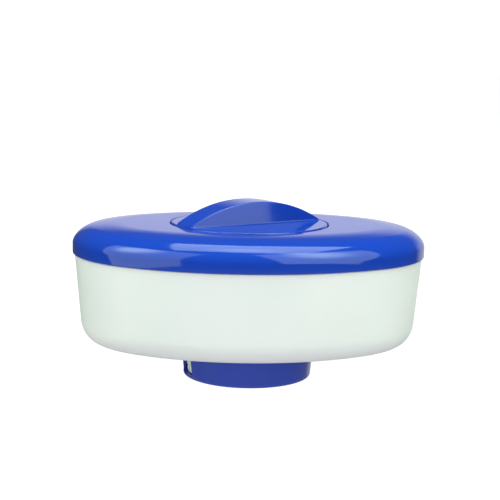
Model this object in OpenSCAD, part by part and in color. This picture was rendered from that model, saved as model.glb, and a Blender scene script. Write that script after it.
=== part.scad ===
// Floating chlorine dispenser: an oval float with a tablet canister through its middle,
// a screw cap on top and a turning flow collar below.
// Z = 0 is the collar's underside, +X is the long way and -Y is the front.

/* [Float] */
// Width of the cover, left to right
body_w = 235; // [215:1:255]
// Depth of the cover, front to back
body_d = 175; // [160:1:190]
// Radius of the outline's round ends
end_r = 75.7; // [70:0.1:78]
// Height of the cover's lower edge above the base
rim_z = 82.9; // [82:0.1:88]
// Wall thickness of the cover and the tub
wall = 2.4; // [2:0.1:2.8]

/* [Cover] */
// Height of the cover's upright skirt
skirt_h = 6.4; // [6:0.1:8]
// Width of the rounded shoulder, measured inward
shoulder_w = 14; // [12:0.5:18]
// Height of the rounded shoulder
shoulder_h = 8.9; // [8:0.1:11]
// Rise of the crowned top above the shoulder
crown_h = 4.6; // [3:0.1:6]
// Distance inward over which the crown rises
crown_run = 32.5; // [30:0.1:32.8]

/* [Tub] */
// Height of the tub below the cover's lower edge
tub_h = 58.64; // [56:0.1:59]
// Inset of the tub's wall under the skirt
tub_inset = 1.4; // [1:0.1:2]
// Draft of the tub's wall, in degrees
tub_draft = 5.1; // [3:0.1:7]
// Width of the rounded corner below the wall
corner_w = 9.6; // [6:0.1:12]
// Height of the rounded corner below the wall
corner_h = 13.4; // [9:0.1:16]
// Height of the tub's rim inside the skirt
rim_h = 7; // [6:0.1:7.5]
// Thickness of the tub's rim
rim_t = 3.2; // [3:0.1:3.6]

/* [Canister] */
// Inner radius of the canister, to take 76 mm tablets
can_r = 38.6; // [38.4:0.1:38.8]
// Wall thickness of the canister
can_wall = 1.6; // [1.4:0.1:1.8]
// Number of flow slots in each group
slot_count = 5; // [3:1:5]
// Width of one flow slot
slot_w = 2; // [1.5:0.1:2.4]

/* [Cap] */
// Radius of the cap's disc
cap_r = 52.2; // [51.8:0.1:52.4]
// Height of the grip above the disc
grip_h = 14.9; // [10:0.1:18]
// Half length of the grip
grip_l = 50.4; // [44:0.1:50.5]
// Half width of the grip at its middle
grip_w = 11.1; // [8:0.1:13]
// Half width that the grip loses toward its ends
grip_taper = 1; // [0.5:0.1:3]
// Height of the grip's ends above the disc
grip_end_h = 0.2; // [0.2:0.1:3]
// Turn of the grip from the long axis when the cap is shut
grip_angle = 28; // [0:0.1:90]
// Rise of the cap in one full turn
thread_lead = 60; // [50:1:60]

/* [Collar] */
// Radius of the collar at its base
collar_r = 42.9; // [42.8:0.1:43.2]
// Growth in the collar's radius for each mm of height
collar_taper = 0.098; // [0.09:0.001:0.11]
// Wall thickness of the collar
collar_wall = 2; // [1.8:0.1:2]
// Height of the collar
collar_h = 23.8; // [23.6:0.1:23.9]
// Width of each flow window, in degrees
window_angle = 35; // [20:1:36]
// Direction of the first flow window
window_dir = 12; // [0:1:40]
// Turn of the collar from open to shut, in degrees
collar_turn = 40; // [38:1:44]

/* [Hidden] */
$fn = 96;

blue = [0.13, 0.27, 0.78];
collar_blue = [0.16, 0.25, 0.66];
milk = [0.91, 0.94, 0.92];
seal_grey = [0.16, 0.16, 0.17];

// Outline: two round ends joined by two longer side arcs
half_w = body_w / 2;
half_d = body_d / 2;
end_x = half_w - end_r;
side_r = (half_w * half_w + half_d * half_d - 2 * half_w * end_r) / (2 * (half_d - end_r));
side_y = side_r - half_d;
end_turn = atan2(side_y, end_x);
// The end arcs run on a little into the side arcs, so that the stretches join as one solid
lap = 0.3;

// Cover and neck levels
cover_top = skirt_h + shoulder_h + crown_h;
top_z = rim_z + cover_top;
recess_r = 53;
recess_floor_z = top_z - 4.5;
neck_r = 46.5;
neck_seat_z = rim_z - 0.4;
neck_seat_t = 2;
neck_bottom_z = neck_seat_z - neck_seat_t;
seat_r = 42.6;

// Rim joint between the tub and the cover
rim_gap = 0.2;
rim_inset = wall + rim_gap;
groove_w = 1.8;
groove_d = 1.2;
groove_inset = rim_inset + (rim_t - groove_w) / 2;
gasket_h = 2.4;
land_z = rim_h - groove_d + gasket_h;
bead_out = 0.5;
bead_z = 2;
bead_h = 0.8;

// Canister levels
can_outer_r = can_r + can_wall;
can_bottom_z = 2.5;
can_floor_t = 2.2;
flange_r = 46;
flange_t = 2;
neck_gasket_t = 1.5;
flange_z = neck_seat_z + neck_gasket_t;
tub_floor_z = rim_z - tub_h;
sleeve_r = can_outer_r + 0.3;
sleeve_top_z = tub_floor_z + 13;
seal_section_r = 1.35;
seal_seat_r = can_outer_r + 2 * seal_section_r + 0.1;
seal_seat_z = sleeve_top_z - 2 * seal_section_r - 0.1;
slot_low_z = 6.5;
slot_high_z = 18.5;
slot_step = 6.4;
rib_out = 0.4;
grate_slot_w = 3.5;
grate_step = 8;
retain_bead_r = 41.3;
retain_bead_z = 19.8;
retain_bead_h = 1;

// Cap levels
disc_z = top_z + 0.5;
disc_t = 2.6;
disc_under_z = disc_z - disc_t;
disc_edge_r = 1.2;
cap_lip_t = 1.4;
cap_skirt_r = 44.4;
cap_skirt_t = 2.2;
cap_skirt_z = flange_z + flange_t + 0.3;
cap_lip_z = recess_floor_z + 0.3;
grip_wall = 1.6;
grip_hollow_l = 41.5;
grip_rise = grip_h - grip_end_h;
grip_arc_r = (grip_l * grip_l + grip_rise * grip_rise) / (2 * grip_rise);
grip_side_r = (grip_l * grip_l + grip_taper * grip_taper) / (2 * grip_taper);
apex_z = disc_z + grip_h;

// Coarse three-start thread
thread_starts = 3;
thread_root_h = 2.6;
thread_crest_h = 1.6;
neck_thread_span = 40;
neck_thread_crest_r = 45;
neck_thread_z = recess_floor_z - 8.1;
cap_thread_span = 30;
cap_thread_crest_r = 46.1;
cap_thread_offset = 5;
cap_thread_drop = 2.5;

// Collar details
collar_edge_r = 1.5;
collar_floor_t = 2;
collar_floor_r = 34;
window_low_z = collar_floor_t;
window_high_z = 18.6;
lip_z = 21.4;
lip_r = can_outer_r + 0.4;
lug_r = 41.8;
lug_angle = 8;
lug_dir = 102;
notch_r = 42.3;
notch_slack = 0.8;

// Ring between two radii.
module ring(outer, inner, low, high) {
    translate([0, 0, low]) difference() {
        cylinder(r = outer, h = high - low);
        translate([0, 0, -1]) cylinder(r = inner, h = high - low + 2);
    }
}

// Part of a ring, centred on the direction dir.
module ring_part(outer, inner, low, high, dir, width) {
    rotate_extrude(start = dir - width / 2, angle = width)
        polygon([[inner, low], [outer, low], [outer, high], [inner, high]]);
}

// Sweep a profile of [inset, height] points round the oval outline.
module oval_sweep(profile) {
    for (half_turn = [0, 180]) rotate([0, 0, half_turn]) {
        translate([end_x, 0, 0])
            rotate_extrude(start = -end_turn - lap, angle = 2 * (end_turn + lap))
                polygon([for (p = profile) [end_r - p[0], p[1]]]);
        translate([0, -side_y, 0]) rotate_extrude(start = end_turn, angle = 180 - 2 * end_turn)
            polygon([for (p = profile) [side_r - p[0], p[1]]]);
    }
}

// Solid plate with the oval outline moved in by inset.
module oval_plate(inset, low, high) {
    joint_x = end_x + (end_r - inset) * cos(end_turn);
    translate([0, 0, low]) {
        for (side = [-1, 1])
            translate([side * end_x, 0, 0]) cylinder(r = end_r - inset, h = high - low);
        intersection() {
            translate([0, side_y, 0]) cylinder(r = side_r - inset, h = high - low);
            translate([0, -side_y, 0]) cylinder(r = side_r - inset, h = high - low);
            translate([-joint_x, -half_d, 0]) cube([2 * joint_x, body_d, high - low]);
        }
    }
}

// Rib with a trapezoid section that climbs along the thread's helix.
module thread_rib(root_r, crest_r, start_z, start_dir, span) {
    steps = ceil(span / 5);
    section = [[root_r, -thread_root_h / 2], [crest_r, -thread_crest_h / 2],
               [crest_r, thread_crest_h / 2], [root_r, thread_root_h / 2]];
    points = [for (i = [0 : steps], p = section)
        let (turn = span * i / steps, dir = start_dir + turn)
        [p[0] * cos(dir), p[0] * sin(dir), start_z + p[1] + thread_lead * turn / 360]];
    outward = crest_r > root_r;
    sides = [for (i = [0 : steps - 1], k = [0 : 3])
        let (a = 4 * i + k, b = 4 * i + (k + 1) % 4)
        outward ? [a, b, b + 4, a + 4] : [a, a + 4, b + 4, b]];
    low_end = outward ? [3, 2, 1, 0] : [0, 1, 2, 3];
    high_end = [for (k = [3 : -1 : 0]) 4 * steps + low_end[k]];
    polyhedron(points, concat([low_end], sides, [high_end]), convexity = 4);
}

function crown(i) = crown_h * sin(90 * min(i / crown_run, 1));
function shoulder_inset(t) = shoulder_w * (1 - cos(t));
function under_inset(t) = wall + (shoulder_w - wall) * (1 - cos(t));

// Cover: skirt with a snap bead, gasket land, shoulder, crown, cap recess and threaded neck
module top_cover() {
    land_inset = rim_inset + rim_t + 0.2;
    flat_inset = crown_run + 1.5;
    outer = concat(
        [for (t = [0 : 9 : 90])
            let (i = shoulder_inset(t)) [i, skirt_h + shoulder_h * sin(t) + crown(i)]],
        [for (k = [1 : 4])
            let (i = shoulder_w + (crown_run - shoulder_w) * k / 4)
            [i, skirt_h + shoulder_h + crown(i)]],
        [[flat_inset, cover_top], [flat_inset, cover_top - wall]]);
    under = concat(
        [for (k = [4 : -1 : 1])
            let (i = shoulder_w + (crown_run - shoulder_w) * k / 4)
            [i, skirt_h + shoulder_h - wall + crown(i)]],
        [for (t = [90 : -10 : 50])
            let (i = under_inset(t)) [i, skirt_h + (shoulder_h - wall) * sin(t) + crown(i)]]);
    skirt = [[land_inset, land_z], [wall, land_z],
             [wall, bead_z + bead_h], [wall + bead_out, bead_z], [wall, bead_z - bead_h],
             [wall, 0], [0, 0]];
    color(blue) {
        difference() {
            union() {
                translate([0, 0, rim_z]) oval_sweep(concat(outer, under, skirt));
                oval_plate(flat_inset - 0.5, top_z - wall, top_z);
                translate([0, 0, recess_floor_z - wall])
                    cylinder(r = recess_r + wall, h = top_z - recess_floor_z + wall - 0.6);
                translate([0, 0, neck_bottom_z])
                    cylinder(r = neck_r + wall, h = recess_floor_z - neck_bottom_z);
            }
            translate([0, 0, recess_floor_z]) cylinder(r = recess_r, h = 10);
            translate([0, 0, neck_seat_z]) cylinder(r = neck_r, h = 30);
            translate([0, 0, neck_bottom_z - 1]) cylinder(r = seat_r, h = 30);
        }
        for (k = [0 : thread_starts - 1])
            thread_rib(neck_r + 0.4, neck_thread_crest_r, neck_thread_z,
                       360 * k / thread_starts, neck_thread_span);
    }
}

function tub_wall(z) = tub_inset - tan(tub_draft) * z;

// Tub: grooved rim, drafted wall, rounded corner, floor and the sleeve round the canister
module float_tub() {
    lower_z = -tub_h;
    inner_inset = rim_inset + rim_t;
    corner_z = lower_z + corner_h;
    outer_wall = concat([[tub_inset, -rim_gap]], [for (t = [0 : 10 : 90])
        let (z = lower_z + corner_h * (1 - sin(t))) [tub_wall(z) + corner_w * (1 - cos(t)), z]]);
    inner_wall = [for (t = [90 : -10 : 0])
        let (z = lower_z + corner_h * (1 - sin(t)))
        [tub_wall(z) + corner_w * (1 - cos(t)) + wall * cos(t), z + wall * sin(t)]];
    floor_inset = tub_wall(lower_z) + corner_w + 8;
    inner_meet_z = -(inner_inset - wall - tub_inset) / tan(tub_draft);
    rim = [[inner_inset, inner_meet_z], [inner_inset, rim_h],
           [groove_inset + groove_w, rim_h], [groove_inset + groove_w, rim_h - groove_d],
           [groove_inset, rim_h - groove_d], [groove_inset, rim_h], [rim_inset, rim_h],
           [rim_inset, bead_z + bead_h], [rim_inset + bead_out, bead_z],
           [rim_inset, bead_z - bead_h], [rim_inset, -rim_gap]];
    color(milk) difference() {
        union() {
            translate([0, 0, rim_z]) oval_sweep(concat(outer_wall,
                [[floor_inset, lower_z], [floor_inset, lower_z + wall]], inner_wall, rim));
            oval_plate(floor_inset - 2, tub_floor_z, tub_floor_z + wall);
            translate([0, 0, tub_floor_z])
                cylinder(r = seal_seat_r + wall, h = sleeve_top_z - tub_floor_z);
        }
        translate([0, 0, tub_floor_z - 1]) cylinder(r = sleeve_r, h = 30);
        translate([0, 0, seal_seat_z]) cylinder(r = seal_seat_r, h = 30);
    }
}

// Seal in the groove of the tub's rim
module cover_gasket() {
    low = rim_z + rim_h - groove_d;
    side_gap = 0.05;
    a = groove_inset + side_gap;
    b = groove_inset + groove_w - side_gap;
    color(seal_grey) translate([0, 0, low])
        oval_sweep([[a, 0], [a, gasket_h], [b, gasket_h], [b, 0]]);
}

// Canister: flanged tube with a slotted floor, flow slots with ribs, a bead and two stop lugs
module tablet_canister() {
    floor_top_z = can_bottom_z + can_floor_t;
    grate_r = can_r - 3;
    color(milk) {
        difference() {
            union() {
                rotate_extrude() polygon([
                    [0, can_bottom_z], [can_outer_r, can_bottom_z],
                    [can_outer_r, retain_bead_z], [retain_bead_r, retain_bead_z + 0.3],
                    [retain_bead_r, retain_bead_z + retain_bead_h - 0.2],
                    [can_outer_r, retain_bead_z + retain_bead_h],
                    [can_outer_r, flange_z], [flange_r, flange_z],
                    [flange_r, flange_z + flange_t], [can_r, flange_z + flange_t],
                    [can_r, floor_top_z], [0, floor_top_z]]);
                for (group = [0, 180], k = [0 : slot_count])
                    ring_part(can_outer_r + rib_out, can_outer_r - 0.4, slot_low_z, slot_high_z,
                              group + window_dir + slot_step * (k - slot_count / 2), 1.4);
            }
            for (group = [0, 180], k = [0 : slot_count - 1])
                rotate([0, 0, group + window_dir + slot_step * (k - (slot_count - 1) / 2)])
                    translate([can_r - 2, -slot_w / 2, slot_low_z])
                        cube([6, slot_w, slot_high_z - slot_low_z]);
            intersection() {
                translate([0, 0, can_bottom_z - 1]) cylinder(r = grate_r, h = can_floor_t + 2);
                for (k = [-4 : 4], side = [-1, 1])
                    translate([k * grate_step - grate_slot_w / 2, side * (grate_r / 2 + 2) - grate_r / 2,
                               can_bottom_z - 1])
                        cube([grate_slot_w, grate_r, can_floor_t + 2]);
            }
        }
        for (group = [0, 180])
            ring_part(lug_r, can_outer_r - 0.4, lip_z + 0.3, collar_h - 0.3,
                      group + lug_dir, lug_angle);
    }
}

// Flat seal between the neck's seat and the canister's flange
module neck_gasket() {
    color(seal_grey) ring(flange_r - 0.3, seat_r + 0.4, neck_seat_z, flange_z);
}

// Round seal between the tub's sleeve and the canister
module canister_seal() {
    color(seal_grey) translate([0, 0, seal_seat_z + seal_section_r + 0.05]) rotate_extrude()
        translate([can_outer_r + seal_section_r + 0.05, 0]) circle(r = seal_section_r, $fn = 24);
}

// Block with the grip's outline: slightly bowed sides, round ends and an arched top
module grip_block(end_radius, half_width, top_z, arc_r, low_z) {
    intersection() {
        translate([0, 0, low_z]) cylinder(r = end_radius, h = top_z - low_z + 1);
        translate([0, 0, top_z - arc_r]) rotate([90, 0, 0])
            cylinder(r = arc_r, h = 4 * half_width, center = true);
        translate([0, grip_side_r - half_width, low_z - 1])
            cylinder(r = grip_side_r, h = top_z - low_z + 3, $fn = 720);
        translate([0, half_width - grip_side_r, low_z - 1])
            cylinder(r = grip_side_r, h = top_z - low_z + 3, $fn = 720);
    }
}

// Cap: disc with a rounded edge, hollow arched grip, and a skirt with the thread
module filler_cap() {
    edge = [for (t = [0 : 15 : 90])
        [cap_r - disc_edge_r * (1 - cos(t)), disc_z - disc_edge_r * (1 - sin(t))]];
    color(blue) {
        difference() {
            union() {
                rotate_extrude() polygon(concat(
                    [[0, disc_under_z], [cap_r - cap_lip_t, disc_under_z],
                     [cap_r - cap_lip_t, cap_lip_z], [cap_r, cap_lip_z]], edge, [[0, disc_z]]));
                rotate([0, 0, grip_angle])
                    grip_block(grip_l, grip_w, apex_z, grip_arc_r, disc_z - 1);
            }
            rotate([0, 0, grip_angle])
                grip_block(grip_hollow_l, grip_w - grip_wall, apex_z - grip_wall,
                           grip_arc_r - grip_wall, disc_under_z - 1);
        }
        ring(cap_skirt_r, cap_skirt_r - cap_skirt_t, cap_skirt_z, disc_under_z + 0.5);
        for (k = [0 : thread_starts - 1])
            thread_rib(cap_skirt_r - 0.4, cap_thread_crest_r,
                       neck_thread_z - cap_thread_drop + thread_lead * cap_thread_offset / 360,
                       360 * k / thread_starts + cap_thread_offset, cap_thread_span);
    }
}

// Flat seal under the cap's disc
module cap_gasket() {
    color(seal_grey) ring(50.2, 48, recess_floor_z + 0.05, disc_under_z - 0.05);
}

function collar_outer(z) = collar_r + collar_taper * z;

// Collar: tapered ring with a rounded lower edge, a floor flange, flow windows and a notched lip
module flow_collar() {
    edge = [for (t = [0 : 15 : 90])
        [collar_r - collar_edge_r * (1 - sin(t)), collar_edge_r * (1 - cos(t))]];
    color(collar_blue) difference() {
        rotate_extrude() polygon(concat([[collar_floor_r, 0]], edge,
            [[collar_outer(collar_h), collar_h], [lip_r, collar_h], [lip_r, lip_z],
             [collar_outer(lip_z) - collar_wall, lip_z],
             [collar_outer(collar_floor_t) - collar_wall, collar_floor_t],
             [collar_floor_r, collar_floor_t]]));
        for (group = [0, 180]) {
            ring_part(50, 36, window_low_z, window_high_z, group + window_dir, window_angle);
            ring_part(notch_r, 36, lip_z - 1, collar_h + 1, group + lug_dir - collar_turn / 2,
                      collar_turn + lug_angle + 2 * notch_slack);
        }
    }
}

top_cover();
float_tub();
cover_gasket();
tablet_canister();
neck_gasket();
canister_seal();
filler_cap();
cap_gasket();
flow_collar();
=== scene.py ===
from math import atan2, copysign, cos, pi, radians, sin, sqrt, tan

import bmesh
import bpy
from mathutils import Matrix, Vector
from mathutils.geometry import tessellate_polygon


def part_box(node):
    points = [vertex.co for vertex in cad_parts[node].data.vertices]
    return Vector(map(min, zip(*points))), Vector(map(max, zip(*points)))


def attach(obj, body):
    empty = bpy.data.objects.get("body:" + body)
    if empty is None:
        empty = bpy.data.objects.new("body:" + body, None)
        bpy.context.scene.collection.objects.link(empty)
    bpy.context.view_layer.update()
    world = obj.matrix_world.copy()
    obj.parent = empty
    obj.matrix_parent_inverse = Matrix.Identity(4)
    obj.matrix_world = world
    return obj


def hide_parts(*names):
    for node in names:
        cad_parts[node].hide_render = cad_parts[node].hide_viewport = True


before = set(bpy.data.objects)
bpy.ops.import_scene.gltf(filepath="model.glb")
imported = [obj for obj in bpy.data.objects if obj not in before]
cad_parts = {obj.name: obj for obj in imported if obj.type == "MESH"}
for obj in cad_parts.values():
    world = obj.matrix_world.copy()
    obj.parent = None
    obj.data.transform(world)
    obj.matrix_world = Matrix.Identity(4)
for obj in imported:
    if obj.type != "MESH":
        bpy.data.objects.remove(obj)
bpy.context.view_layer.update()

MM = 0.001

# ---------------------------------------------------------------- sizes, in millimetres


def node_box(name):
    low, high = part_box(name)
    return low / MM, high / MM


cover_high = node_box("top_cover")[1]
tub_low = node_box("float_tub")[0]
canister_low, canister_high = node_box("tablet_canister")
cap_low, cap_high = node_box("filler_cap")
collar_high = node_box("flow_collar")[1]

HALF_W, HALF_D, TOP_Z = cover_high
END_R = 75.7
SKIRT_H, SHOULDER_W, SHOULDER_H = 6.4, 14.0, 8.9
CROWN_H, CROWN_RUN = 4.6, 32.5
WALL = 2.4
RIM_Z = TOP_Z - SKIRT_H - SHOULDER_H - CROWN_H

END_X = HALF_W - END_R
SIDE_R = (HALF_W ** 2 + HALF_D ** 2 - 2 * HALF_W * END_R) / (2 * (HALF_D - END_R))
SIDE_Y = SIDE_R - HALF_D
END_TURN = atan2(SIDE_Y, END_X)

RECESS_R, RECESS_FLOOR_Z = 53.0, TOP_Z - 4.5
NECK_R, NECK_SEAT_Z, NECK_SEAT_T, SEAT_R = 46.5, RIM_Z - 0.4, 2.0, 42.6
FLAT_INSET = CROWN_RUN + 1.5
RIM_INSET, RIM_H, RIM_T = WALL + 0.2, 7.0, 3.2
GROOVE_W, GROOVE_D, GASKET_H = 1.8, 1.2, 2.4
GROOVE_INSET = RIM_INSET + (RIM_T - GROOVE_W) / 2
LAND_Z = RIM_H - GROOVE_D + GASKET_H
BEAD_OUT, BEAD_Z, BEAD_H = 0.5, 2.0, 0.8

TUB_INSET, TUB_DRAFT = 1.4, radians(5.1)
CORNER_W, CORNER_H = 9.6, 13.4
TUB_Z = tub_low.z

CAN_R, CAN_WALL, CAN_Z, CAN_FLOOR_T = 38.6, 1.6, canister_low.z, 2.2
CAN_OUT = CAN_R + CAN_WALL
FLANGE_R, FLANGE_T, FLANGE_Z = 46.0, 2.0, canister_high.z - 2.0
SLEEVE_R, SLEEVE_Z = CAN_OUT + 0.3, TUB_Z + 13
SEAL_R = 1.35
SEAL_SEAT_R = CAN_OUT + 2 * SEAL_R + 0.1
SEAL_SEAT_Z = SLEEVE_Z - 2 * SEAL_R - 0.1
SLOT_COUNT, SLOT_W, SLOT_STEP, SLOT_LOW, SLOT_HIGH = 5, 2.0, 6.4, 6.5, 18.5
GRATE_R, GRATE_SLOT, GRATE_STEP = CAN_R - 3, 3.5, 8.0
RETAIN_R, RETAIN_Z = 41.3, 19.8

CAP_R, CAP_EDGE_R, CAP_T, CAP_LIP_T = 52.2, 1.2, 2.6, 1.4
DISC_Z = TOP_Z + 0.5
DISC_UNDER_Z = DISC_Z - CAP_T
CAP_LIP_Z = RECESS_FLOOR_Z + 0.3
CAP_SKIRT_R, CAP_SKIRT_T, CAP_SKIRT_Z = 44.4, 2.2, cap_low.z
GRIP_ANGLE, GRIP_L, GRIP_W, GRIP_TAPER, GRIP_END_H = radians(28), 50.4, 11.1, 1.0, 0.2
GRIP_H = cap_high.z - DISC_Z
GRIP_WALL, GRIP_HOLLOW_L = 1.6, 41.5
GRIP_CORNER_R, GRIP_FOOT_R, GRIP_EDGE_R = 1.5, 1.1, 0.85
GRIP_RISE = GRIP_H - GRIP_END_H
GRIP_ARC_R = (GRIP_L ** 2 + GRIP_RISE ** 2) / (2 * GRIP_RISE)
GRIP_SIDE_R = (GRIP_L ** 2 + GRIP_TAPER ** 2) / (2 * GRIP_TAPER)

THREAD_STARTS, THREAD_LEAD = 3, 60.0
THREAD_ROOT_H, THREAD_CREST_H = 2.6, 1.6
NECK_THREAD_R, NECK_THREAD_Z, NECK_THREAD_SPAN = 45.0, RECESS_FLOOR_Z - 8.1, 40
CAP_THREAD_R, CAP_THREAD_SPAN, CAP_THREAD_TURN, CAP_THREAD_DROP = 46.1, 30, 5, 2.5

COLLAR_R, COLLAR_TAPER, COLLAR_WALL, COLLAR_H = 42.9, 0.098, 2.0, collar_high.z
COLLAR_EDGE_R, COLLAR_FLOOR_T, COLLAR_FLOOR_R = 1.5, 2.0, 34.0
WINDOW_LOW, WINDOW_HIGH, WINDOW_DIR, WINDOW_ANGLE = COLLAR_FLOOR_T, 18.6, 12, 35
LIP_Z, LIP_R = 21.4, CAN_OUT + 0.4
LUG_R, LUG_ANGLE, LUG_DIR, NOTCH_R, COLLAR_TURN = 41.8, 8, 102, 42.3, 40

# ---------------------------------------------------------------- shape tools

ROUND_POINTS, LATHE_POINTS = 384, 240


def outline_direction(share):
    """Normal direction of the oval outline at this share of its length, from +X."""
    end_part = END_R * END_TURN
    quarter = end_part + SIDE_R * (pi / 2 - END_TURN)
    quadrant, along = divmod(share * 4 * quarter, quarter)
    along = quarter - along if quadrant % 2 else along
    turn = along / END_R if along < end_part else END_TURN + (along - end_part) / SIDE_R
    return (turn, pi - turn, pi + turn, 2 * pi - turn)[int(quadrant)]


def outline_point(direction, inset):
    c, s = cos(direction), sin(direction)
    if atan2(abs(s), abs(c)) < END_TURN:
        return copysign(END_X, c) + (END_R - inset) * c, (END_R - inset) * s
    return (SIDE_R - inset) * c, (SIDE_R - inset) * s - copysign(SIDE_Y, s)


DIRECTIONS = [outline_direction(k / ROUND_POINTS) for k in range(ROUND_POINTS)]
AROUND = [atan2(y, x) for x, y in (outline_point(d, FLAT_INSET) for d in DIRECTIONS)]
EVEN = [2 * pi * k / LATHE_POINTS for k in range(LATHE_POINTS)]


def oval(inset, z):
    return [(*outline_point(d, inset), z) for d in DIRECTIONS]


def circle(radius, z, angles=AROUND):
    return [(radius * cos(a), radius * sin(a), z) for a in angles]


def rounded(corners, steps=4):
    """Profile from (a, z) or (a, z, radius) corners, each with its own rounding."""
    result = []
    for i, corner in enumerate(corners):
        if len(corner) < 3:
            result.append(tuple(corner))
            continue
        here = Vector(corner[:2])
        back = (Vector(corners[i - 1][:2]) - here).normalized()
        ahead = (Vector(corners[(i + 1) % len(corners)][:2]) - here).normalized()
        half = back.angle(ahead) / 2
        centre = here + (back + ahead).normalized() * corner[2] / sin(half)
        start = here + back * corner[2] / tan(half) - centre
        end = here + ahead * corner[2] / tan(half) - centre
        sweep = start.angle_signed(end)
        for k in range(steps + 1):
            spoke = start.copy()
            spoke.rotate(Matrix.Rotation(-sweep * k / steps, 2))
            result.append(tuple(centre + spoke))
    return result


class Shape:
    """Points and faces of one piece while it is being made, in millimetres."""

    def __init__(self):
        self.points, self.faces, self.soft_edges = [], [], []

    def ring(self, points):
        first = len(self.points)
        self.points += points
        return list(range(first, len(self.points)))

    def skin(self, rings, closed=False):
        for a, b in zip(rings, rings[1:] + rings[:1] if closed else rings[1:]):
            for k in range(len(a)):
                m = (k + 1) % len(a)
                self.faces.append((a[k], a[m], b[m], b[k]))

    def fill(self, *loops):
        flat = [i for loop in loops for i in loop]
        outlines = [[Vector((*self.points[i][:2], 0)) for i in loop] for loop in loops]
        self.faces += [tuple(flat[i] for i in tri) for tri in tessellate_polygon(outlines)]

    def lathe(self, profile, angles=EVEN):
        self.skin([self.ring(circle(r, z, angles)) for r, z in profile], closed=True)

    def block(self, section, angles):
        """Solid from a section swept round part of a turn, with flat ends."""
        rings = [self.ring([(r * cos(a), r * sin(a), z) for r, z in section])
                 for a in angles]
        self.skin(rings)
        self.faces += [tuple(rings[0]), tuple(rings[-1])]

    def thread(self, root_r, crest_r, low_z, start, span):
        """Helical ribs, one for each start, that run out smoothly at both ends."""
        steps, run_out = 30, 4.0
        for k in range(THREAD_STARTS):
            rings = []
            for i in range(steps + 1):
                turn = span * i / steps
                share = min(turn / run_out, (span - turn) / run_out, 1)
                share = share * share * (3 - 2 * share)
                crest = root_r + (crest_r - root_r) * (0.12 + 0.88 * share)
                angle = radians(start + turn + 360 * k / THREAD_STARTS)
                z = low_z + THREAD_LEAD * turn / 360
                edge = (crest - root_r) * 0.14
                section = [(root_r, -THREAD_ROOT_H / 2),
                           (crest - 2 * edge, -THREAD_CREST_H / 2 - 0.1),
                           (crest - edge / 2, -THREAD_CREST_H / 2 + 0.04),
                           (crest, -THREAD_CREST_H / 2 + 0.3),
                           (crest, THREAD_CREST_H / 2 - 0.3),
                           (crest - edge / 2, THREAD_CREST_H / 2 - 0.04),
                           (crest - 2 * edge, THREAD_CREST_H / 2 + 0.1),
                           (root_r, THREAD_ROOT_H / 2)]
                rings.append(self.ring([(r * cos(angle), r * sin(angle), z + h)
                                        for r, h in section]))
            self.skin(rings)
            self.faces += [tuple(rings[0]), tuple(rings[-1])]

    def piece(self, name, node, body, material, edge_angle=38, bevel=0.0):
        mesh = bpy.data.meshes.new(name)
        mesh.from_pydata([(x * MM, y * MM, z * MM) for x, y, z in self.points], [],
                         self.faces)
        work = bmesh.new()
        work.from_mesh(mesh)
        if bevel:
            work.verts.ensure_lookup_table()
            edges = [work.edges.get((work.verts[a], work.verts[b]))
                     for a, b in self.soft_edges]
            bmesh.ops.bevel(work, geom=[e for e in edges if e], offset=bevel * MM,
                            offset_type="OFFSET", segments=3, profile=0.5,
                            affect="EDGES", clamp_overlap=True)
        bmesh.ops.recalc_face_normals(work, faces=work.faces)
        work.to_mesh(mesh)
        work.free()
        mesh.shade_smooth()
        mesh.set_sharp_from_angle(angle=radians(edge_angle))
        mesh.materials.append(material)
        made = bpy.data.objects.new(name, mesh)
        bpy.context.scene.collection.objects.link(made)
        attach(made, body)
        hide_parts(node)
        return made


# ---------------------------------------------------------------- materials


# Noise scales, per metre: clouds in the colour, flow marks in the gloss, peel and grain
CLOUDS, FLOW, PEEL, GRAIN = 22, 60, 420, 3800
FLOW_STRETCH = (1, 1, 2.5)


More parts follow.
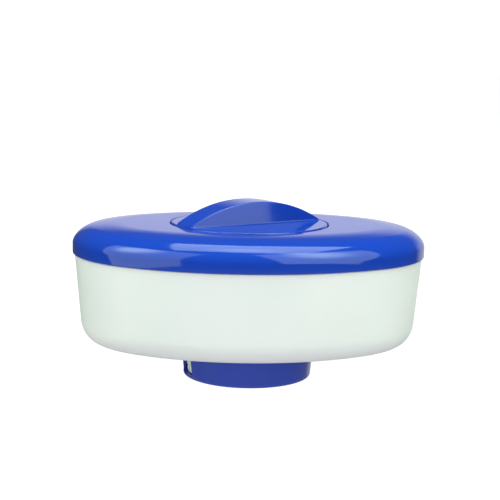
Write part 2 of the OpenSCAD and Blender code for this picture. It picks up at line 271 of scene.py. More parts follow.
def plastic(name, colour, shade, roughness, peel, grain, **settings):
    """Moulded plastic: faint cloudiness between colour and shade, flow-marked gloss between
    two roughnesses, orange peel a few millimetres across and fine grain, both in mm deep."""
    material = bpy.data.materials.new(name)
    material.use_nodes = True
    nodes, links = material.node_tree.nodes, material.node_tree.links
    shader = nodes["Principled BSDF"]
    for socket, value in settings.items():
        shader.inputs[socket.replace("_", " ")].default_value = value
    place = nodes.new("ShaderNodeTexCoord").outputs["Object"]

    def noise(scale, detail, stretch=(1, 1, 1)):
        mapping = nodes.new("ShaderNodeMapping")
        mapping.inputs["Scale"].default_value = stretch
        texture = nodes.new("ShaderNodeTexNoise")
        texture.inputs["Scale"].default_value = scale
        texture.inputs["Detail"].default_value = detail
        links.new(place, mapping.inputs["Vector"])
        links.new(mapping.outputs["Vector"], texture.inputs["Vector"])
        return texture.outputs["Fac"]

    def levels(source, low, high):
        ramp = nodes.new("ShaderNodeMapRange")
        ramp.inputs["From Min"].default_value = 0.3
        ramp.inputs["From Max"].default_value = 0.7
        ramp.inputs["To Min"].default_value = low
        ramp.inputs["To Max"].default_value = high
        links.new(source, ramp.inputs["Value"])
        return ramp.outputs["Result"]

    mix = nodes.new("ShaderNodeMix")
    mix.data_type = "RGBA"
    mix.inputs["A"].default_value = (*colour, 1)
    mix.inputs["B"].default_value = (*shade, 1)
    links.new(levels(noise(CLOUDS, 4), 0, 1), mix.inputs["Factor"])
    links.new(mix.outputs["Result"], shader.inputs["Base Color"])
    links.new(levels(noise(FLOW, 6, FLOW_STRETCH), *roughness), shader.inputs["Roughness"])

    bumps = None
    for scale, detail, depth in ((PEEL, 2, peel), (GRAIN, 1, grain)):
        bump = nodes.new("ShaderNodeBump")
        bump.inputs["Distance"].default_value = depth * MM
        bump.inputs["Strength"].default_value = 1
        links.new(noise(scale, detail), bump.inputs["Height"])
        if bumps:
            links.new(bumps, bump.inputs["Normal"])
        bumps = bump.outputs["Normal"]
    links.new(bumps, shader.inputs["Normal"])
    return material


BLUE = plastic("blue_plastic", (0.0064, 0.045, 0.405), (0.0055, 0.040, 0.38),
               (0.05, 0.09), 0.006, 0.0004, IOR=1.5)
COLLAR_BLUE = plastic("collar_plastic", (0.0125, 0.045, 0.385), (0.0105, 0.041, 0.355),
                      (0.18, 0.25), 0.008, 0.001, IOR=1.5)
MILK = plastic("milky_plastic", (0.80, 0.82, 0.845), (0.77, 0.80, 0.825),
               (0.34, 0.44), 0.01, 0.0015, IOR=1.5, Subsurface_Weight=0.25,
               Subsurface_Radius=(1.0, 1.0, 1.0), Subsurface_Scale=0.003)
CANISTER_WHITE = plastic("canister_plastic", (0.80, 0.83, 0.82), (0.76, 0.80, 0.79),
                         (0.32, 0.42), 0.01, 0.0015, IOR=1.5)
RUBBER = plastic("seal_rubber", (0.020, 0.020, 0.022), (0.030, 0.030, 0.032),
                 (0.55, 0.7), 0.01, 0.006, IOR=1.5)

# ---------------------------------------------------------------- cover


def crown(inset):
    return CROWN_H * sin(pi / 2 * min(inset / CROWN_RUN, 1))


def make_cover():
    shape = Shape()
    outer, under = [], []
    shoulder_steps, crown_steps = 30, 12
    for k in range(shoulder_steps + 1):
        t = pi / 2 * k / shoulder_steps
        inset = SHOULDER_W * (1 - cos(t))
        outer.append((inset, RIM_Z + SKIRT_H + SHOULDER_H * sin(t) + crown(inset)))
    for k in range(1, crown_steps + 1):
        inset = SHOULDER_W + (CROWN_RUN - SHOULDER_W) * k / crown_steps
        outer.append((inset, RIM_Z + SKIRT_H + SHOULDER_H + crown(inset)))
        under.insert(0, (inset, RIM_Z + SKIRT_H + SHOULDER_H + crown(inset) - WALL))
    # The underside's shoulder, from its top down to half way
    for k in range(crown_steps, crown_steps // 2, -1):
        t = pi / 2 * k / crown_steps
        inset = WALL + (SHOULDER_W - WALL) * (1 - cos(t))
        under.append((inset, RIM_Z + SKIRT_H + (SHOULDER_H - WALL) * sin(t) + crown(inset)))
    land_inset = RIM_INSET + RIM_T + 0.2
    skirt = rounded([(land_inset, RIM_Z + LAND_Z), (WALL, RIM_Z + LAND_Z, 0.3),
                     (WALL, RIM_Z + BEAD_Z + BEAD_H), (WALL + BEAD_OUT, RIM_Z + BEAD_Z),
                     (WALL, RIM_Z + BEAD_Z - BEAD_H), (WALL, RIM_Z, 0.3),
                     (0, RIM_Z, 0.7), (0, RIM_Z + SKIRT_H)])[:-1]
    opening = rounded([
        (FLAT_INSET, 0), (RECESS_R, TOP_Z, 0.9), (RECESS_R, RECESS_FLOOR_Z, 0.8),
        (NECK_R, RECESS_FLOOR_Z, 0.5), (NECK_R, NECK_SEAT_Z, 0.4),
        (SEAT_R, NECK_SEAT_Z, 0.3), (SEAT_R, NECK_SEAT_Z - NECK_SEAT_T, 0.3),
        (NECK_R + WALL, NECK_SEAT_Z - NECK_SEAT_T, 0.5),
        (NECK_R + WALL, RECESS_FLOOR_Z - WALL, 0.8),
        (RECESS_R + WALL, RECESS_FLOOR_Z - WALL, 0.8),
        (RECESS_R + WALL, TOP_Z - WALL, 0.8)])[1:]
    # The corner before the recess lies on the flat top, and not at the list's start
    opening[:5] = rounded([(RECESS_R + 8, TOP_Z), (RECESS_R, TOP_Z, 0.9),
                           (RECESS_R, RECESS_FLOOR_Z)])[1:6]
    rings = [shape.ring(oval(i, z)) for i, z in outer]
    rings.append(shape.ring(oval(FLAT_INSET, TOP_Z)))
    rings.append(shape.ring(circle(RECESS_R + 1.5, TOP_Z)))
    rings += [shape.ring(circle(r, z)) for r, z in opening]
    rings.append(shape.ring(oval(FLAT_INSET, TOP_Z - WALL)))
    rings += [shape.ring(oval(i, z)) for i, z in under + skirt]
    shape.skin(rings, closed=True)
    shape.thread(NECK_R + 0.4, NECK_THREAD_R, NECK_THREAD_Z, 0, NECK_THREAD_SPAN)
    return shape.piece("cover_shell", "top_cover", "float_body", BLUE)


make_cover()

# ---------------------------------------------------------------- tub and its gasket


def tub_wall(z):
    """Inset of the tub's drafted wall at this height."""
    return TUB_INSET + tan(TUB_DRAFT) * (RIM_Z - z)


def make_tub():
    shape = Shape()
    inner_inset = RIM_INSET + RIM_T
    floor_inset = tub_wall(TUB_Z) + CORNER_W + 8
    low = TUB_Z + CORNER_H
    outer = [(TUB_INSET + 0.3, RIM_Z - 0.2), (TUB_INSET, RIM_Z - 0.5)]
    outer += [(tub_wall(z), z) for z in (RIM_Z - 4, (RIM_Z + low) / 2)]
    inner = []
    corner_steps = 24
    for k in range(corner_steps + 1):
        t = pi / 2 * k / corner_steps
        z = low - CORNER_H * sin(t)
        inset = tub_wall(z) + CORNER_W * (1 - cos(t))
        outer.append((inset, z))
        inner.insert(0, (inset + WALL * cos(t), z + WALL * sin(t)))
    meet_z = RIM_Z - (inner_inset - WALL - TUB_INSET) / tan(TUB_DRAFT)
    inner += [(inner_inset - 0.15, meet_z - 1.7), (inner_inset, meet_z)]
    top = RIM_Z + RIM_H
    rim = rounded([
        (inner_inset, meet_z), (inner_inset, top, 0.3), (GROOVE_INSET + GROOVE_W, top, 0.15),
        (GROOVE_INSET + GROOVE_W, top - GROOVE_D), (GROOVE_INSET, top - GROOVE_D),
        (GROOVE_INSET, top, 0.15), (RIM_INSET, top, 0.3), (RIM_INSET, RIM_Z + BEAD_Z + BEAD_H),
        (RIM_INSET + BEAD_OUT, RIM_Z + BEAD_Z), (RIM_INSET, RIM_Z + BEAD_Z - BEAD_H),
        (RIM_INSET, RIM_Z - 0.2)])[1:]
    sleeve = rounded([
        (SLEEVE_R, TUB_Z, 0.5), (SLEEVE_R, SEAL_SEAT_Z), (SEAL_SEAT_R, SEAL_SEAT_Z),
        (SEAL_SEAT_R, SLEEVE_Z, 0.3), (SEAL_SEAT_R + WALL, SLEEVE_Z, 0.5),
        (SEAL_SEAT_R + WALL, TUB_Z + WALL, 1.5), (SEAL_SEAT_R + 12, TUB_Z + WALL),
        (SEAL_SEAT_R + 12, TUB_Z)])[:-2]
    rings = [shape.ring(oval(i, z)) for i, z in outer]
    rings.append(shape.ring(oval(floor_inset, TUB_Z)))
    rings.append(shape.ring(circle(SLEEVE_R + 1.2, TUB_Z)))
    rings += [shape.ring(circle(r, z)) for r, z in sleeve]
    rings.append(shape.ring(oval(floor_inset, TUB_Z + WALL)))
    rings += [shape.ring(oval(i, z)) for i, z in inner + rim]
    shape.skin(rings, closed=True)
    return shape.piece("tub_shell", "float_tub", "float_body", MILK)


def make_cover_gasket():
    shape = Shape()
    low = RIM_Z + RIM_H - GROOVE_D
    a, b = GROOVE_INSET + 0.05, GROOVE_INSET + GROOVE_W - 0.05
    section = rounded([(a, low, 0.3), (a, low + GASKET_H, 0.4), (b, low + GASKET_H, 0.4),
                       (b, low, 0.3)])
    shape.skin([shape.ring(oval(i, z)) for i, z in section], closed=True)
    return shape.piece("rim_gasket", "cover_gasket", "float_body", RUBBER)


make_tub()
make_cover_gasket()

# ---------------------------------------------------------------- canister


def angle_grid(edges, step=3.0):
    """Even angles in radians round a full turn, with an angle at each given edge."""
    near = [e % 360 for e in edges]
    even = [k * step for k in range(round(360 / step))]
    kept = [a for a in even
            if all(min(abs(a - e), 360 - abs(a - e)) > 0.35 * step for e in near)]
    return [radians(a) for a in sorted(set(round(x, 6) for x in kept + near))]


def nearest(profile, *points):
    """Places in the profile of its points nearest to these."""
    return [min(range(len(profile)),
                key=lambda i: abs(profile[i][0] - r) + abs(profile[i][1] - z))
            for r, z in points]


def windowed(shape, profile, angles, outer, inner, openings, reach=None):
    """Turned shell with openings through its wall. outer and inner are the profile's
    places at the openings' levels, from the lowest up; openings are (from, to) pairs
    of degrees. reach changes a point's radius by its angle."""
    reach = reach or (lambda r, z, a: r)
    rings = [shape.ring([(reach(r, z, a) * cos(a), reach(r, z, a) * sin(a), z)
                         for a in angles]) for r, z in profile]
    places = {round(a * 180 / pi, 3): k for k, a in enumerate(angles)}
    spans = []
    for start, end in openings:
        first, last = (places[round(e % 360, 3)] for e in (start, end))
        spans.append((first, (last - first) % len(angles)))
    hidden = {(first + i) % len(angles) for first, count in spans for i in range(count)}
    cut = {min(p, q) for chain in (outer, inner) for p, q in zip(chain, chain[1:])}
    for p, ring in enumerate(rings):
        above = rings[(p + 1) % len(rings)]
        for k in range(len(angles)):
            if p in cut and k in hidden:
                continue
            m = (k + 1) % len(angles)
            shape.faces.append((ring[k], ring[m], above[m], above[k]))
    for first, count in spans:
        columns = [(first + i) % len(angles) for i in range(count + 1)]
        for o, i in ((outer[0], inner[0]), (outer[-1], inner[-1])):
            for k, m in zip(columns, columns[1:]):
                shape.faces.append((rings[o][k], rings[o][m], rings[i][m], rings[i][k]))
                shape.soft_edges += [(rings[o][k], rings[o][m])]
                if o == outer[-1]:
                    shape.soft_edges += [(rings[i][k], rings[i][m])]
        for k in (columns[0], columns[-1]):
            for (o, i), (p, q) in zip(zip(outer, inner), zip(outer[1:], inner[1:])):
                shape.faces.append((rings[o][k], rings[p][k], rings[q][k], rings[i][k]))
                shape.soft_edges += [(rings[o][k], rings[p][k]), (rings[i][k], rings[q][k])]


def grate_loop(index, side, grow):
    """Outline of one slot in the canister's floor, with rounded ends."""
    half, low = GRATE_SLOT / 2 + grow, 2 - grow
    x, limit = index * GRATE_STEP, GRATE_R + grow
    loop = [(x + half * cos(a), low + half * (1 + sin(a)))
            for a in (pi + pi * k / 10 for k in range(11))]
    for k in range(7):
        px = x + half - 2 * half * k / 6
        loop.append((px, sqrt(limit ** 2 - px ** 2)))
    return loop if side > 0 else [(px, -py) for px, py in loop]


def make_canister():
    shape = Shape()
    group = [dir_ + WINDOW_DIR + SLOT_STEP * (k - (SLOT_COUNT - 1) / 2)
             for dir_ in (0, 180) for k in range(SLOT_COUNT)]
    half_slot = SLOT_W / 2 / CAN_OUT * 180 / pi
    slots = [(a - half_slot, a + half_slot) for a in group]
    angles = angle_grid([e for s in slots for e in s], 2.0)
    outer_low = rounded([(CAN_R - 4, CAN_Z), (CAN_OUT, CAN_Z, 0.8), (CAN_OUT, SLOT_LOW)])
    bead = [(CAN_OUT, RETAIN_Z - 0.1), (CAN_OUT + 0.7, RETAIN_Z + 0.05),
            (RETAIN_R, RETAIN_Z + 0.35), (RETAIN_R, RETAIN_Z + 0.65),
            (CAN_OUT + 0.7, RETAIN_Z + 0.9), (CAN_OUT, RETAIN_Z + 1.05)]
    top = rounded([(CAN_OUT, RETAIN_Z + 10), (CAN_OUT, FLANGE_Z, 0.6), (FLANGE_R, FLANGE_Z, 0.3),
                   (FLANGE_R, FLANGE_Z + FLANGE_T, 0.5), (CAN_R, FLANGE_Z + FLANGE_T, 0.8),
                   (CAN_R, SLOT_HIGH)])[1:-1]
    floor_top = CAN_Z + CAN_FLOOR_T
    inner_low = rounded([(CAN_R, SLOT_HIGH), (CAN_R, floor_top, 1.2), (CAN_R - 3, floor_top)])
    profile = (outer_low + [(CAN_OUT, SLOT_HIGH)] + bead + top + [(CAN_R, SLOT_HIGH),
               (CAN_R, SLOT_LOW)] + inner_low[1:])
    outer = nearest(profile, (CAN_OUT, SLOT_LOW), (CAN_OUT, SLOT_HIGH))
    inner = nearest(profile, (CAN_R, SLOT_LOW), (CAN_R, SLOT_HIGH))
    first = len(shape.points)
    # The profile's last stretch, from the floor's top to its underside, isn't skinned
    windowed(shape, profile, angles, outer, inner, slots)
    count = len(angles)
    bottom_ring = list(range(first, first + count))
    top_ring = list(range(first + (len(profile) - 1) * count, first + len(profile) * count))
    joined = set(bottom_ring) | set(top_ring)
    shape.faces = [f for f in shape.faces if not set(f) <= joined]
    chamfer = 0.3
    loops = {bottom_ring[0]: [bottom_ring], top_ring[0]: [top_ring]}
    for side in (-1, 1):
        for index in range(-4, 5):
            wide, narrow = (grate_loop(index, side, g) for g in (chamfer, 0))
            rings = [shape.ring([(x, y, z) for x, y in loop]) for loop, z in (
                (wide, CAN_Z), (narrow, CAN_Z + chamfer),
                (narrow, floor_top - chamfer), (wide, floor_top))]
            shape.skin(rings)
            loops[bottom_ring[0]].append(rings[0])
            loops[top_ring[0]].append(rings[-1])
    for group_loops in loops.values():
        shape.fill(*group_loops)
    rib = rounded([(CAN_OUT - 0.4, SLOT_LOW), (CAN_OUT + 0.4, SLOT_LOW, 0.25),
                   (CAN_OUT + 0.4, SLOT_HIGH, 0.25), (CAN_OUT - 0.4, SLOT_HIGH)])
    for dir_ in (0, 180):
        for k in range(SLOT_COUNT + 1):
            mid = dir_ + WINDOW_DIR + SLOT_STEP * (k - SLOT_COUNT / 2)
            shape.block(rib, [radians(mid - 0.7 + 0.35 * i) for i in range(5)])
        lug = rounded([(CAN_OUT - 0.4, LIP_Z + 0.3), (LUG_R, LIP_Z + 0.3, 0.3),
                       (LUG_R, COLLAR_H - 0.3, 0.3), (CAN_OUT - 0.4, COLLAR_H - 0.3)])
        mid = dir_ + LUG_DIR
        shape.block(lug, [radians(mid - LUG_ANGLE / 2 + i) for i in range(LUG_ANGLE + 1)])
    return shape.piece("canister_body", "tablet_canister", "float_body",
                       CANISTER_WHITE, bevel=0.25)


def make_seals():
    low = rounded([(SEAT_R + 0.4, NECK_SEAT_Z, 0.3), (SEAT_R + 0.4, FLANGE_Z, 0.3),
                   (FLANGE_R - 0.3, FLANGE_Z, 0.3), (FLANGE_R - 0.3, NECK_SEAT_Z, 0.3)])
    shape = Shape()
    shape.lathe(low)
    shape.piece("flange_gasket", "neck_gasket", "float_body", RUBBER)
    mid_z = SEAL_SEAT_Z + SEAL_R + 0.05
    shape = Shape()
    shape.lathe([(CAN_OUT + SEAL_R + 0.05 + SEAL_R * cos(a), mid_z + SEAL_R * sin(a))
                 for a in (2 * pi * k / 20 for k in range(20))])
    shape.piece("sleeve_o_ring", "canister_seal", "float_body", RUBBER)
    shape = Shape()
    a, b = RECESS_FLOOR_Z + 0.05, DISC_UNDER_Z - 0.05
    shape.lathe(rounded([(48, a, 0.4), (48, b, 0.4), (50.2, b, 0.4), (50.2, a, 0.4)]))
    shape.piece("cap_seal_ring", "cap_gasket", "cap_seal", RUBBER)


make_canister()
make_seals()

# ---------------------------------------------------------------- cap


def grip_outline(length, waist, corner, steps=(9, 6, 40)):
    """[(x, y, outward normal x, y)] round the grip's plan outline: round ends, rounded
    corners and bowed sides, from +X round to +X again, mirrored about both axes."""
    side_y = waist - GRIP_SIDE_R
    reach, far = length - corner, GRIP_SIDE_R - corner
    # Centre of the corner's circle, where it touches the end arc and the side from inside
    y = (side_y ** 2 - far ** 2 + reach ** 2) / (2 * side_y)
    corner_centre = Vector((sqrt(reach ** 2 - y ** 2), y))
    end_angle = atan2(corner_centre.y, corner_centre.x)
    side_angle = atan2(corner_centre.x, corner_centre.y - side_y)
    quarter = []
    for k in range(steps[0]):
        a = end_angle * k / steps[0]
        quarter.append((length * cos(a), length * sin(a), cos(a), sin(a)))
    for k in range(steps[1]):
        a = end_angle + (pi / 2 - side_angle - end_angle) * k / steps[1]
        quarter.append((corner_centre.x + corner * cos(a),
                        corner_centre.y + corner * sin(a), cos(a), sin(a)))
    for k in range(steps[2]):
        a = side_angle * (1 - k / steps[2])
        quarter.append((GRIP_SIDE_R * sin(a), side_y + GRIP_SIDE_R * cos(a), sin(a), cos(a)))
    half = quarter + [(0, waist, 0, 1)] + [(-x, y, -u, v) for x, y, u, v in quarter[:0:-1]]
    return half + [(-length, 0, -1, 0)] + [(x, -y, u, -v) for x, y, u, v in half[:0:-1]]


def arch(x, drop):
    radius = GRIP_ARC_R - drop
    return DISC_Z + GRIP_H - drop - radius + sqrt(radius ** 2 - x ** 2)


def turned_grip(points):
    c, s = cos(GRIP_ANGLE), sin(GRIP_ANGLE)
    return [(x * c - y * s, x * s + y * c, z) for x, y, z in points]


def across(shape, ring, points, height, strips=6):
    """Closes a mirrored outline with strips that run across it."""
    count = len(ring)
    last = [ring[0]] * (strips + 1)
    for k in range(1, count // 2 + 1):
        x, y, _ = points[k]
        if k == count // 2:
            row = [ring[k]] * (strips + 1)
        else:
            inside = turned_grip([(x, y * (1 - 2 * i / strips), height(x))
                                  for i in range(1, strips)])
            row = [ring[k]] + shape.ring(inside) + [ring[count - k]]
        for i in range(strips):
            face = []
            for v in (last[i], last[i + 1], row[i + 1], row[i]):
                if v not in face:
                    face.append(v)
            if len(face) > 2:
                shape.faces.append(tuple(face))
        last = row


def make_cap():
    shape = Shape()
    foot, edge, steps, margin = GRIP_FOOT_R, GRIP_EDGE_R, 5, 0.35
    body = rounded([
        (CAP_R - 6, DISC_Z), (CAP_R, DISC_Z, CAP_EDGE_R), (CAP_R, CAP_LIP_Z, 0.3),
        (CAP_R - CAP_LIP_T, CAP_LIP_Z, 0.3), (CAP_R - CAP_LIP_T, DISC_UNDER_Z, 0.4),
        (CAP_SKIRT_R, DISC_UNDER_Z, 0.6), (CAP_SKIRT_R, CAP_SKIRT_Z, 0.4),
        (CAP_SKIRT_R - CAP_SKIRT_T, CAP_SKIRT_Z, 0.4),
        (CAP_SKIRT_R - CAP_SKIRT_T, DISC_UNDER_Z)], steps=6)[1:]
    rim = (CAP_R - CAP_EDGE_R - 0.3, DISC_Z)
    rings = [shape.ring(circle(r, z, EVEN)) for r, z in [rim] + body]
    shape.skin(rings)

    def grip_ring(offset, height, length=GRIP_L, waist=GRIP_W):
        """One ring of the grip; its fillets shrink where the arch comes down to the disc."""
        points = []
        for x, y, u, v in grip_outline(length, waist, GRIP_CORNER_R):
            fit = min(1, (arch(x, 0) - DISC_Z) / (foot + edge + 0.1))
            move = offset(fit)
            points.append((x + u * move, y + v * move, fit))
        return shape.ring(turned_grip([(x, y, height(x, fit)) for x, y, fit in points])), points

    walls = [grip_ring(lambda fit: foot * fit + margin, lambda x, fit: DISC_Z)]
    for k in range(steps + 1):
        a = pi / 2 * k / steps
        walls.append(grip_ring(lambda fit: foot * fit * (1 - sin(a)),
                               lambda x, fit: DISC_Z + foot * fit * (1 - cos(a))))
    for k in range(steps + 1):
        a = pi / 2 * k / steps
        walls.append(grip_ring(lambda fit: -edge * fit * (1 - cos(a)),
                               lambda x, fit: arch(x, 0) - edge * fit * (1 - sin(a))))
    walls.append(grip_ring(lambda fit: -edge * fit - margin, lambda x, fit: arch(x, 0)))
    shape.skin([ring for ring, _ in walls])
    across(shape, *walls[-1], lambda x: arch(x, 0))
    shape.fill(rings[0], walls[0][0])

    hollow = [(0.3, lambda x, _: DISC_UNDER_Z), (0, lambda x, _: DISC_UNDER_Z + 0.3),
              (0, lambda x, _: arch(x, GRIP_WALL) - 1),
              (-0.3, lambda x, _: arch(x, GRIP_WALL) - 0.3),
              (-1, lambda x, _: arch(x, GRIP_WALL))]
    inner = [grip_ring(lambda _, by=by: by, height, GRIP_HOLLOW_L, GRIP_W - GRIP_WALL)
             for by, height in hollow]
    shape.skin([ring for ring, _ in inner])
    across(shape, *inner[-1], lambda x: arch(x, GRIP_WALL))
    shape.fill(rings[-1], inner[0][0])
    low_z = NECK_THREAD_Z - CAP_THREAD_DROP + THREAD_LEAD * CAP_THREAD_TURN / 360
    shape.thread(CAP_SKIRT_R - 0.4, CAP_THREAD_R, low_z, CAP_THREAD_TURN, CAP_THREAD_SPAN)
    return shape.piece("cap_with_grip", "filler_cap", "cap", BLUE)


make_cap()

# ---------------------------------------------------------------- collar


def collar_outer(z):
    return COLLAR_R + COLLAR_TAPER * z


def make_collar():
    shape = Shape()
    notch_half = (COLLAR_TURN + LUG_ANGLE) / 2 + 0.8
    notches = [(dir_ + LUG_DIR - COLLAR_TURN / 2) for dir_ in (0, 180)]
    windows = [(dir_ + WINDOW_DIR - WINDOW_ANGLE / 2, dir_ + WINDOW_DIR + WINDOW_ANGLE / 2)
               for dir_ in (0, 180)]
    steps = [n + s * (notch_half + e) for n in notches for s in (-1, 1) for e in (0, 0.35)]
    angles = angle_grid([e for w in windows for e in w] + steps, 2.5)

    def reach(r, z, a):
        """Radius, opened out where the lip's notches let the canister's lugs by."""
        if z < LIP_Z - 0.01 or r > NOTCH_R:
            return r
        off = min(abs((a * 180 / pi - n + 180) % 360 - 180) for n in notches)
        return NOTCH_R if off < notch_half + 0.01 else r

    profile = rounded([
        (COLLAR_FLOOR_R, 0, 0.4), (COLLAR_R, 0, COLLAR_EDGE_R),
        (collar_outer(WINDOW_LOW), WINDOW_LOW),
        (collar_outer(WINDOW_HIGH), WINDOW_HIGH), (collar_outer(COLLAR_H), COLLAR_H, 0.5),
        (LIP_R, COLLAR_H, 0.3), (LIP_R, LIP_Z, 0.3), (collar_outer(LIP_Z) - COLLAR_WALL, LIP_Z),
        (collar_outer(WINDOW_HIGH) - COLLAR_WALL, WINDOW_HIGH),
        (collar_outer(WINDOW_LOW) - COLLAR_WALL, COLLAR_FLOOR_T),
        (COLLAR_FLOOR_R, COLLAR_FLOOR_T, 0.4)], steps=6)
    outer = nearest(profile, (collar_outer(WINDOW_LOW), WINDOW_LOW),
                    (collar_outer(WINDOW_HIGH), WINDOW_HIGH))
    inner = nearest(profile, (collar_outer(WINDOW_LOW) - COLLAR_WALL, COLLAR_FLOOR_T),
                    (collar_outer(WINDOW_HIGH) - COLLAR_WALL, WINDOW_HIGH))
    windowed(shape, profile, angles, outer, inner, windows, reach)
    return shape.piece("flow_collar_ring", "flow_collar", "collar",
                       COLLAR_BLUE, bevel=0.3)


make_collar()

# ---------------------------------------------------------------- stage, light, camera

CAMERA_YAW = radians(3.31)
STUDIO_TURN = Matrix.Rotation(-CAMERA_YAW, 4, "Z")
TARGET = Vector((0, 0, RIM_Z * MM))


def stage_floor():
    """Plain floor just under the object, bright enough to be as white as the backdrop."""
    half, z = 12.0, -0.1 * MM
    mesh = bpy.data.meshes.new("floor")
    mesh.from_pydata([(-half, -half, z), (half, -half, z), (half, half, z), (-half, half, z)],
                     [], [(0, 1, 2, 3)])
    floor = bpy.data.objects.new("floor", mesh)
    material = bpy.data.materials.new("pale_floor")
    material.use_nodes = True
    shader = material.node_tree.nodes["Principled BSDF"]
    shader.inputs["Base Color"].default_value = (0.2, 0.2, 0.2, 1)
    shader.inputs["Roughness"].default_value = 1.0
    shader.inputs["Specular IOR Level"].default_value = 0
    shader.inputs["Emission Color"].default_value = (1, 1, 1, 1)
    shader.inputs["Emission Strength"].default_value = 1.0
    mesh.materials.append(material)
    bpy.context.scene.collection.objects.link(floor)
    floor.visible_glossy = False
    floor.visible_diffuse = False


def soft_light(name, place, turn, width, height, radiance, colour, hot=None):
    """Area light at place, seen from TARGET. hot is (extra radiance, (u, v), reach) of a
    soft bright spot where its lamp is. A light without one is a fill, which isn't reflected
    as a shape in glossy surfaces."""
    light = bpy.data.lights.new(name, "AREA")
    light.shape, light.size, light.size_y = "RECTANGLE", width, height
    light.energy = pi * width * height
    light.use_nodes = True
    nodes, links = light.node_tree.nodes, light.node_tree.links
    emission = nodes["Emission"]
    emission.inputs["Strength"].default_value = radiance
    emission.inputs["Color"].default_value = (*colour, 1)
    if hot:
        extra, centre, reach = hot
        place_on = nodes.new("ShaderNodeNewGeometry").outputs["Parametric"]
        offset = nodes.new("ShaderNodeVectorMath")
        offset.operation = "DISTANCE"
        offset.inputs[1].default_value = (*centre, 0)
        links.new(place_on, offset.inputs[0])
        fall = nodes.new("ShaderNodeMapRange")
        fall.interpolation_type = "SMOOTHERSTEP"
        set_range(fall, 0, reach, radiance + extra, radiance)
        links.new(offset.outputs["Value"], fall.inputs["Value"])
        links.new(fall.outputs["Result"], emission.inputs["Strength"])
    lamp = bpy.data.objects.new(name, light)
    lamp.matrix_world = STUDIO_TURN @ Matrix.Translation(TARGET + place) @ turn
    lamp.visible_camera = False
    lamp.visible_glossy = hot is not None
    bpy.context.scene.collection.objects.link(lamp)


def set_range(node, from_min, from_max, to_min, to_max):
    for socket, value in (("From Min", from_min), ("From Max", from_max),
                          ("To Min", to_min), ("To Max", to_max)):
        node.inputs[socket].default_value = value


def softbox(name, azimuth, elevation, roll, away, half_u, half_v, radiance, colour, hot=None):
    """Box facing the object, away metres from it. Azimuth 0 is the camera's side and 90 the
    right; half_u and half_v are its half sizes for each metre of distance."""
    a, e = radians(azimuth), radians(elevation)
    toward = Vector((sin(a) * cos(e), -cos(a) * cos(e), sin(e)))
    turn = (-toward).to_track_quat("-Z", "Y").to_matrix().to_4x4()
    soft_light(name, toward * away, turn @ Matrix.Rotation(radians(roll), 4, "Z"),
               2 * half_u * away, 2 * half_v * away, radiance, colour, hot)


def overhead(name, centre, roll, up, half_u, half_v, radiance, colour, hot=None):
    """Level box up metres above the object, with its centre and half sizes given for each
    metre of height."""
    place = Vector((centre[0], centre[1], 1)) * up
    soft_light(name, place, Matrix.Rotation(radians(roll), 4, "Z"),
               2 * half_u * up, 2 * half_v * up, radiance, colour, hot)


def surroundings():
    """White behind the object for the camera; what the object reflects is a dim room
    with a pale table and, low behind it, a white backdrop."""
    world = bpy.data.worlds.new("studio")
    world.use_nodes = True
    nodes, links = world.node_tree.nodes, world.node_tree.links
    room = nodes["Background"]
    direction = nodes.new("ShaderNodeTexCoord").outputs["Generated"]
    split = nodes.new("ShaderNodeSeparateXYZ")
    links.new(direction, split.inputs["Vector"])

    def ranged(value, *limits):
        node = nodes.new("ShaderNodeMapRange")
        node.interpolation_type = "SMOOTHSTEP"
        set_range(node, *limits)
        links.new(value, node.inputs["Value"])
        return node.outputs["Result"]

    def math(operation, a, b):
        node = nodes.new("ShaderNodeMath")
        node.operation = operation
        links.new(a, node.inputs[0])
        links.new(b, node.inputs[1])
        return node.outputs[0]

    behind = nodes.new("ShaderNodeVectorMath")
    behind.operation = "DOT_PRODUCT"
    behind.inputs[1].default_value = STUDIO_TURN @ Vector(
        (sin(BACKDROP_TURN), cos(BACKDROP_TURN), 0))
    links.new(direction, behind.inputs[0])
    backdrop = math("MULTIPLY", ranged(behind.outputs["Value"], *BACKDROP_SIDES, 0, BACKDROP),
                    ranged(split.outputs["Z"], *BACKDROP_TOP, 1, 0.1))
    table = ranged(split.outputs["Z"], *TABLE_EDGE, TABLE, ROOM)
    links.new(math("MAXIMUM", backdrop, table), room.inputs["Strength"])
    white = nodes.new("ShaderNodeBackground")
    white.inputs["Strength"].default_value = CAMERA_WHITE
    mix = nodes.new("ShaderNodeMixShader")
    links.new(nodes.new("ShaderNodeLightPath").outputs["Is Camera Ray"], mix.inputs["Fac"])
    links.new(room.outputs["Background"], mix.inputs[1])
    links.new(white.outputs["Background"], mix.inputs[2])
    links.new(mix.outputs["Shader"], nodes["World Output"].inputs["Surface"])
    for background in (room, white):
        background.inputs["Color"].default_value = (1, 1, 1, 1)
    bpy.context.scene.world = world
    bpy.context.scene.view_settings.view_transform = "Standard"


# Brightness of the backdrop, the table and the room, and of the white the camera sees
BACKDROP, TABLE, ROOM, CAMERA_WHITE = 0.76, 0.68, 0.08, 1.1
# Turn of the backdrop's middle to the right, and where the backdrop fades out: cosines
# from its middle at its sides, and upward parts of a direction at its top. The table's
# edge is two such upward parts too, below the level
BACKDROP_TURN, BACKDROP_SIDES, BACKDROP_TOP = radians(16), (0.78, 0.93), (0.12, 0.42)
TABLE_EDGE = (-0.5, -0.18)
# Colours of the reflected boxes, of the fills in front, and of the one behind
COOL, WARM, WHITE = (0.97, 1.17, 0.88), (1.03, 0.89, 1.09), (1, 1, 1)

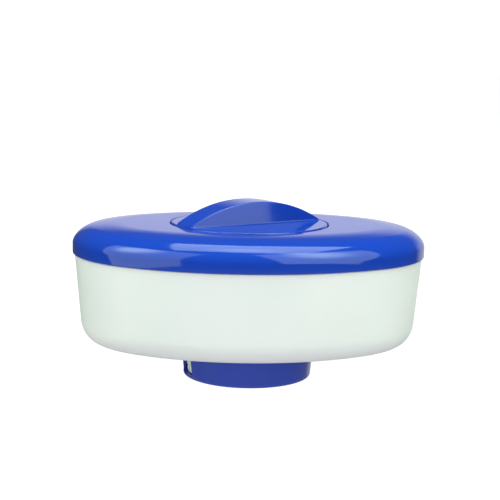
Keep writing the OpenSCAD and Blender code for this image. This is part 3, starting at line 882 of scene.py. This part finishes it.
stage_floor()
surroundings()
softbox("right_box", azimuth=47.5, elevation=32, roll=-13, away=1.3, half_u=0.48,
        half_v=0.81, radiance=1.8, colour=COOL, hot=(4.0, (0.5, 0.8), 0.4))
softbox("left_box", azimuth=-60.5, elevation=22, roll=13, away=1.3, half_u=0.51,
        half_v=0.87, radiance=1.45, colour=COOL, hot=(4.4, (0.42, 0.82), 0.35))
overhead("top_box", centre=(0.05, 0.15), roll=-12, up=1.1, half_u=0.40, half_v=0.34,
         radiance=3.0, colour=COOL, hot=(1.8, (0.5, 0.3), 0.4))
overhead("top_fill", centre=(0, 0), roll=0, up=1.2, half_u=0.5, half_v=0.5, radiance=1.9,
         colour=WARM)
softbox("front_fill", azimuth=0, elevation=-6, roll=0, away=1.3, half_u=1.3, half_v=0.5,
        radiance=0.8, colour=WARM)
softbox("back_fill", azimuth=180, elevation=0, roll=0, away=1.3, half_u=1.3, half_v=0.5,
        radiance=1.15, colour=WHITE)

# Camera: its distance and height from the cover's lower edge, and the way it is turned
CAMERA_AWAY, CAMERA_UP = 861.0, 137.26
CAMERA_PAN, CAMERA_TILT, CAMERA_ROLL = radians(0.048), radians(-0.099), radians(1.066)
FOCAL_SHARE = 2.5976


def make_camera():
    tilt = atan2(CAMERA_UP, CAMERA_AWAY) + CAMERA_TILT
    ahead = Vector((sin(CAMERA_PAN) * cos(tilt), cos(CAMERA_PAN) * cos(tilt), -sin(tilt)))
    right = ahead.cross(Vector((0, 0, 1))).normalized()
    up = right.cross(ahead)
    rolled = Matrix((cos(CAMERA_ROLL) * right + sin(CAMERA_ROLL) * up,
                     -sin(CAMERA_ROLL) * right + cos(CAMERA_ROLL) * up,
                     -ahead)).transposed()
    place = Matrix.Translation((0, -CAMERA_AWAY * MM, (RIM_Z + CAMERA_UP) * MM))
    data = bpy.data.cameras.new("camera")
    data.sensor_width = 36
    data.lens = FOCAL_SHARE * data.sensor_width
    data.clip_start, data.clip_end = 0.05, 20
    camera = bpy.data.objects.new("camera", data)
    camera.matrix_world = STUDIO_TURN @ place @ rolled.to_4x4()
    bpy.context.scene.collection.objects.link(camera)
    bpy.context.scene.camera = camera


make_camera()
